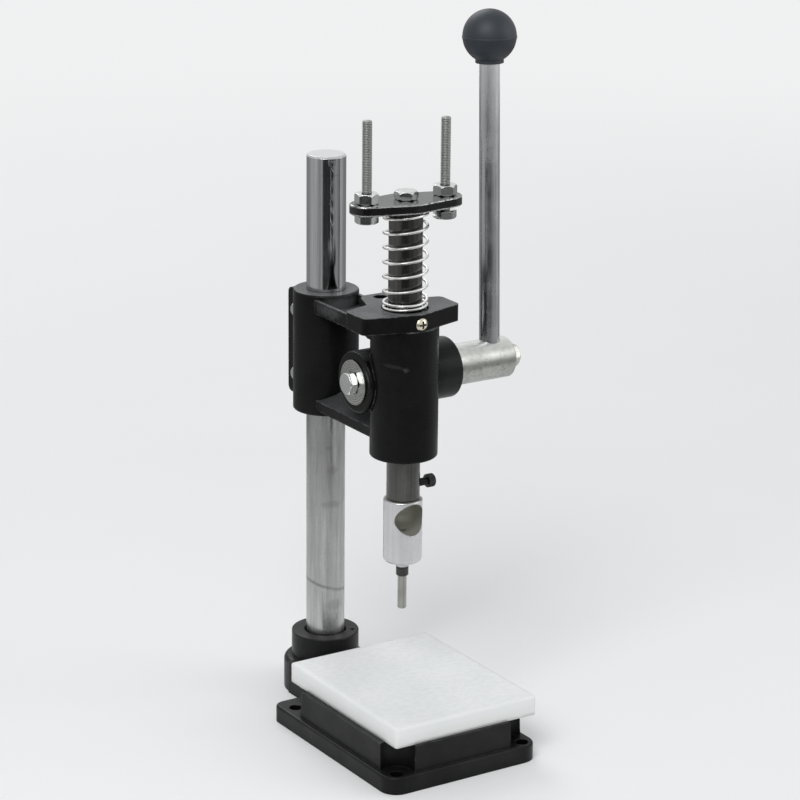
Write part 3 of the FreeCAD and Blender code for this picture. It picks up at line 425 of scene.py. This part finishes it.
def painted_reflection_line(z_middle, slope, width, ends, strength):
    """A painted reflection: a thin dark line across the column's front, which may slope."""
    _, tree, shader = metals["column_steel"]
    at = place_of(tree)
    axis = ACROSS_FRONT[0] * COLUMN_X + ACROSS_FRONT[1] * COLUMN_Y
    height = dot_product(tree, at, (ACROSS_FRONT[0] * slope, ACROSS_FRONT[1] * slope, 1.0))
    away = maths(tree, "ABSOLUTE", maths(tree, "SUBTRACT", height, slope * axis + z_middle))
    line = span(tree, away, 0.0, width, 1.0, 0.0)
    side = maths(tree, "SUBTRACT", dot_product(tree, at, ACROSS_FRONT), axis)
    first, last = ends
    here = maths(tree, "MULTIPLY", span(tree, side, first, first + 2 * MM),
                 span(tree, side, last, last - 2 * MM))
    uneven = ramp(tree, noise(tree, at, 300.0, 3.0), [(0.3, 0.55), (0.6, 1.0)])
    mask = maths(tree, "MULTIPLY", maths(tree, "MULTIPLY", line, here), uneven)
    lay_colour(tree, shader, mask, strength, (0.07, 0.07, 0.07))


turn_washer()
paint_cross_shade()
shade_and_wear_hub()
oily_shaded_pocket()
column_smudges_and_top_highlight()
# Painted reflections: two dark lines on the column, one low and one near its top.
painted_reflection_line(0.0726, 0.30, 1.7 * MM, (-0.014, 0.014), 0.62)
painted_reflection_line(0.3454, 0.0, 0.35 * MM, (-0.004, 0.0085), 0.6)


# Plastics

def board_plastic():
    """Milky plastic with a fine ripple on the top and smooth, softly rounded sides."""
    made, tree, shader = material("board_plastic")
    top = facing_up(tree, 0.9, 0.99)
    wave = noise(tree, stretched(tree, (0.75, 1.0, 1.0)), 320.0, 2.0, 0.5, 0.5)
    cloud = noise(tree, place_of(tree), 30.0, 4.0)
    colour = ramp(tree, cloud, [(0.3, (0.79, 0.805, 0.80, 1)), (0.7, (0.83, 0.84, 0.84, 1))])
    ripple = ramp(tree, wave, [(0.40, 0.950), (0.60, 1.0)])
    colour = blend_colour(tree, top, colour, blend_colour(tree, 1.0, colour, ripple, "MULTIPLY"))
    # Painted shade: the sides are laid darker and warmer towards their lower edge.
    low = span(tree, axis_value(tree, 2), 0.036, 0.028)
    colour = blend_colour(tree, maths(tree, "MULTIPLY", low, 0.6), colour, (0.73, 0.725, 0.70, 1))
    link(tree, shader, colour=colour, rough=ramp(tree, cloud, [(0.3, 0.42), (0.7, 0.50)]),
         normal=bump(tree, maths(tree, "MULTIPLY", wave, top), 0.22 * MM, soft_normal(tree, 4.0 * MM)))
    shader.inputs["Subsurface Weight"].default_value = 0.3
    shader.inputs["Subsurface Radius"].default_value = (0.004, 0.004, 0.004)
    shader.inputs["Subsurface Scale"].default_value = 0.5
    return made


def ball_plastic():
    """Black moulded plastic, dulled by hands, with a cool sheen."""
    made, tree, shader = material("ball_plastic")
    at = stretched(tree, (1, 1, 1))
    fine = noise(tree, at, 900.0, 3.0)
    cloud = noise(tree, at, 70.0, 4.0)
    colour = ramp(tree, cloud, [(0.3, (0.006, 0.0075, 0.011, 1)), (0.7, (0.009, 0.011, 0.016, 1))])
    link(tree, shader, colour=colour, rough=ramp(tree, cloud, [(0.3, 0.50), (0.7, 0.60)]),
         normal=bump(tree, fine, 0.012 * MM))
    shader.inputs["Specular IOR Level"].default_value = 0.62
    shader.inputs["Specular Tint"].default_value = (0.86, 0.925, 1.0, 1)
    return made


# What each node wears

ball_finish = ball_plastic()
DRESSING = {
    "column_steel": ["column"], "lever_steel": ["lever_rod"], "ram_steel": ["ram"],
    "holder_aluminium": ["punch_holder"], "punch_steel": ["punch_tube"], "shaft_steel": ["pinion_shaft"],
    "tarnished_zinc": ["lever_lock_bolt"], "washer_zinc": ["pinion_washer"],
    "yellow_zinc": ["oil_hole_screw"], "spring_steel": ["return_spring"],
    "black_steel": ["tool_lock_screw"], "collar_black": ["punch_collar"],
    "zinc_steel": ["clamp_bolts", "clamp_washers", "pinion_bolt", "ram_top_bolt", "stop_bolt_left",
                   "stop_bolt_right", "stop_nut_left", "stop_nut_right"],
}
worn_by = {name: metals[finish][0] for finish, names in DRESSING.items() for name in names}
worn_by.update(base_casting=base_paint, head_casting=head_paint, stop_plate=plate_paint,
               cutting_board=board_plastic(), ball_knob=ball_finish)
for name, finish in worn_by.items():
    for slot in nodes[name].material_slots:
        slot.material = finish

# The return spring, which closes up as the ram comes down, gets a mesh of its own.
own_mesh(nodes["return_spring"])


# Small geometry that the solids leave out

def circle(radius, z, sides, shift=0.0):
    """A ring of points round Z. Radius and height are lengths, or functions of the angle."""
    points = []
    for i in range(sides):
        angle = 2 * math.pi * (i + shift) / sides
        r = radius(angle) if callable(radius) else radius
        points.append(Vector((r * math.cos(angle), r * math.sin(angle), z(angle) if callable(z) else z)))
    return points


def hex_radius(angle, flats):
    """How far a hexagon's side is from its middle at one angle."""
    part = math.radians(60)
    return flats / 2 / math.cos((angle % part) - part / 2)


def thread_rings(radius, depth, pitch, low, high, ease, sides=24, steps=6):
    """Rings of a screw thread along Z, which thins out over the ease at its upper end."""
    rings = []
    total = int(round((high - low) / pitch * steps))
    for step in range(total + 1):
        z = low + (high - low) * step / total
        ring = []
        for i in range(sides):
            angle = 2 * math.pi * i / sides
            turn = (z / pitch - i / sides) % 1.0
            crest = max(0.0, min(1.0, (abs(turn - 0.5) - 0.12) / 0.26))
            r = min(radius - depth * (1 - crest), radius - ease + (high - z))
            ring.append(Vector((r * math.cos(angle), r * math.sin(angle), z)))
        rings.append(ring)
    return rings


def add_piece(name, rings, matrix, finish, body, smooth=True, closed_ends=True):
    """Joins rings of equal counts into a skin, puts it in place and lets it ride on a body."""
    count = len(rings[0])
    verts = [matrix @ point for ring in rings for point in ring]
    faces = []
    for r in range(len(rings) - 1):
        for i in range(count):
            j = (i + 1) % count
            faces.append((r * count + i, r * count + j, (r + 1) * count + j, (r + 1) * count + i))
    if closed_ends:
        faces.append(tuple(reversed(range(count))))
        faces.append(tuple(range((len(rings) - 1) * count, len(rings) * count)))
    mesh = bpy.data.meshes.new(name)
    mesh.from_pydata(verts, [], faces)
    mesh.update()
    piece = bpy.data.objects.new(name, mesh)
    bpy.context.collection.objects.link(piece)
    mesh.materials.append(finish)
    for polygon in mesh.polygons:
        polygon.use_smooth = smooth
    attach(piece, body)
    return piece


def stop_bolt(name, body, turn):
    """A stop bolt with a faceted head and a real thread in place of the plain solid."""
    low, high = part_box(name)
    matrix = Matrix.Translation(((low[0] + high[0]) / 2, (low[1] + high[1]) / 2, 0))
    flats, head_height, sides = 13.0 * MM, 5.3 * MM, 48
    seat = low[2] + head_height
    pad = flats * 0.475
    bevel = math.tan(math.radians(30))

    def outline(angle):
        return hex_radius(angle - turn, flats)

    rings = [circle(pad, low[2], sides, 0.5),
             circle(outline, lambda angle: low[2] + (outline(angle) - pad) * bevel, sides, 0.5),
             circle(outline, lambda angle: seat - (outline(angle) - pad) * bevel, sides, 0.5),
             circle(pad, seat, sides, 0.5),
             circle(2.7 * MM, seat, sides, 0.5),
             circle(2.7 * MM, seat + 0.6 * MM, sides, 0.5)]
    head = add_piece(name + "_head", rings, matrix, metals["zinc_steel"][0], body, False)
    thread = thread_rings(3.1 * MM, 0.52 * MM, 1.0 * MM, seat + 0.3 * MM, high[2], 0.6 * MM)
    shank = add_piece(name + "_thread", thread, matrix, metals["thread_zinc"][0], body)
    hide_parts(name)
    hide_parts(name)


def lock_screw():
    """The tool's lock screw with a knurled head, a hexagon socket and a thread."""
    name, body, slot_name = "tool_lock_screw", "lock_screw", "black_steel"
    finish = metals[slot_name][0]
    low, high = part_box(name)
    radius = (high[2] - low[2]) / 2
    length, key_size, sides, ridges = 5.0 * MM, 4.0 * MM, 144, 36

    def knurled(angle):
        return radius - inset * MM - knurl * MM * (0.5 - 0.5 * math.cos(ridges * angle))

    rings = []
    for inset, z, knurl in ((0.5, 0.0, 0.0), (0.1, 0.25, 0.10), (0.0, 0.6, 0.26), (0.0, 4.3, 0.26),
                            (0.12, 4.7, 0.10), (0.5, 5.0, 0.0)):
        rings.append(circle(knurled, z * MM, sides))
    rings.append(circle(2.45 * MM, length, sides))
    for depth in (0.2 * MM, 2.5 * MM):
        rings.append(circle(lambda angle: hex_radius(angle, key_size), length - depth, sides))
    rings.append(circle(0.2 * MM, length - 3.0 * MM, sides))
    seat = high[0] - length
    matrix = (Matrix.Translation((seat, (low[1] + high[1]) / 2, (low[2] + high[2]) / 2))
              @ Matrix.Rotation(math.radians(90), 4, "Y"))
    head = add_piece(name + "_head", rings, matrix, finish, body, False)
    thread = thread_rings(2.5 * MM, 0.42 * MM, 0.8 * MM, low[0] - seat, 0.2 * MM, 0.0)
    shank = add_piece(name + "_thread", thread, matrix, finish, body)
    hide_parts(name)
    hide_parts(name)


def ball_seam():
    """The fine ridge that the mould left round the ball's middle, square to the lever."""
    low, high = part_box("ball_knob")
    radius = (high[0] - low[0]) / 2
    centre = Vector(((low[0] + high[0]) / 2, (low[1] + high[1]) / 2, high[2] - radius))
    matrix = Matrix.Translation(centre) @ Matrix.Rotation(math.radians(-1.8), 4, "X")
    rings = []
    for proud, rise in ((-0.25, -2.6), (0.16, -1.2), (0.26, -0.15), (0.20, 0.10), (-0.15, 0.35)):
        rings.append(circle(radius + proud * MM, rise * MM, 160))
    add_piece("ball_seam", rings, matrix, ball_finish, "lever", closed_ends=False)


stop_bolt("stop_bolt_left", "left_stop", math.radians(21))
stop_bolt("stop_bolt_right", "right_stop", math.radians(40))
lock_screw()
ball_seam()


# Floor, light and camera

BACKDROP = (0.87, 0.875, 0.88, 1)
SKY = (0.42, 0.43, 0.44, 1)


def backdrop_ray(tree):
    """1 for the rays that show the backdrop: the camera's own, and those in reflections and glass."""
    path = put(tree, "ShaderNodeLightPath")
    seen = maths(tree, "MAXIMUM", path.outputs["Is Camera Ray"], path.outputs["Is Glossy Ray"])
    return maths(tree, "MAXIMUM", seen, path.outputs["Is Transmission Ray"])


def add_stage(name, verts, faces):
    """A mesh that belongs to the studio and not to the object."""
    mesh = bpy.data.meshes.new(name)
    mesh.from_pydata(verts, [], faces)
    thing = bpy.data.objects.new(name, mesh)
    bpy.context.collection.objects.link(thing)
    return thing


def pale_floor():
    """A matt floor that runs into the white backdrop far from the object, as a studio sweep does."""
    size = 8.0
    floor = add_stage("floor", [(-size, -size, 0), (size, -size, 0), (size, size, 0), (-size, size, 0)],
                      [(0, 1, 2, 3)])
    floor.location.z = -0.1 * MM
    made, tree, shader = material("floor_matt")
    shade = ramp(tree, noise(tree, place_of(tree), 5.0, 3.0), [(0.3, 0.884), (0.7, 0.892)])
    link(tree, shader, colour=shade, rough=0.8)
    shader.inputs["Specular IOR Level"].default_value = 0.1
    far = span(tree, length_of(tree, place_of(tree)), 0.55, 2.3, interpolation_type="SMOOTHSTEP")
    both = put(tree, "ShaderNodeMixShader", {0: maths(tree, "MULTIPLY", far, backdrop_ray(tree)),
                                             1: shader.outputs[0], 2: glow_instead(tree, BACKDROP)})
    tree.links.new(both.outputs[0], tree.nodes["Material Output"].inputs["Surface"])
    floor.data.materials.append(made)


def backdrop():
    """A grey sky lights the object. What the camera and reflections see of it is white."""
    world = bpy.data.worlds.new("studio")
    bpy.context.scene.world = world
    world.use_nodes = True
    tree = world.node_tree
    background = tree.nodes["Background"]
    tree.links.new(blend_colour(tree, backdrop_ray(tree), SKY, BACKDROP), background.inputs["Color"])
    background.inputs["Strength"].default_value = 1.0


# The ring of cards: azimuth in degrees from plus X, and brightness
RING_SHADES = ((-180, 0.38), (-172, 0.36), (-165, 0.25), (-160, 0.43), (-154, 0.43), (-147, 0.04),
               (-101, 0.04), (-95, 0.14), (-75, 0.22), (-65, 0.34), (-50, 0.34), (-38, 0.22), (-30, 0.5),
               (-13, 0.5), (0, 0.38), (15, 0.26), (60, 0.26), (117, 0.33), (135, 0.5), (173, 0.5),
               (180, 0.38))


def reflection_ring():
    """A low ring of grey cards that only reflections see, as panels round a studio table."""
    radius, low, high, steps = 0.62, 0.002, 0.30, 96
    verts, faces = [], []
    for i in range(steps):
        angle = 2 * math.pi * i / steps
        verts += [(radius * math.cos(angle), radius * math.sin(angle), z) for z in (low, high)]
        j = (i + 1) % steps
        faces.append((2 * i, 2 * j, 2 * j + 1, 2 * i + 1))
    ring = add_stage("reflection_ring", verts, faces)
    made, tree, _ = material("card")
    bearing = maths(tree, "ARCTAN2", axis_value(tree, 1), axis_value(tree, 0))
    share = maths(tree, "ADD", maths(tree, "DIVIDE", bearing, 2 * math.pi), 0.5)
    cards = ramp(tree, share, [((azimuth + 180) / 360, (shade, shade * 1.005, shade * 1.01, 1))
                               for azimuth, shade in RING_SHADES])
    tree.links.new(glow_instead(tree, cards), tree.nodes["Material Output"].inputs["Surface"])
    ring.data.materials.append(made)
    ring.visible_camera = False
    ring.visible_diffuse = False
    ring.visible_shadow = False
    ring.visible_transmission = False


def area_light(name, place, target, size, power):
    """A square lamp that looks at a target."""
    lamp = bpy.data.lights.new(name, "AREA")
    lamp.size = size
    lamp.energy = power
    holder = bpy.data.objects.new(name, lamp)
    bpy.context.collection.objects.link(holder)
    holder.location = place
    holder.rotation_euler = (Vector(target) - Vector(place)).to_track_quat("-Z", "Y").to_euler()


def photo_camera():
    """The camera where the photograph was taken."""
    forward = Vector((0.51683, 0.80327, -0.29605)).normalized()
    side = forward.cross(Vector((0, 0, 1))).normalized()
    up = side.cross(forward)
    roll = math.radians(0.58)
    right = math.cos(roll) * side + math.sin(roll) * up
    top = math.cos(roll) * up - math.sin(roll) * side
    lens = bpy.data.cameras.new("camera")
    lens.sensor_width = 36.0
    lens.sensor_fit = "HORIZONTAL"
    lens.lens = 134.67
    lens.clip_start = 0.05
    camera = bpy.data.objects.new("camera", lens)
    bpy.context.collection.objects.link(camera)
    turn = Matrix((right, top, -forward)).transposed().to_4x4()
    camera.matrix_world = Matrix.Translation((-0.94613, -1.45812, 0.76340)) @ turn
    bpy.context.scene.camera = camera


pale_floor()
backdrop()
reflection_ring()
area_light("key", (-1.3, -1.0, 1.9), (0, 0.02, 0.2), 1.3, 30.0)
area_light("fill", (1.8, -1.2, 1.0), (0, 0.02, 0.2), 1.4, 11.0)
area_light("back", (0.4, 1.9, 1.7), (0, 0.05, 0.2), 1.2, 14.0)
photo_camera()

bpy.context.scene.view_settings.view_transform = "Standard"
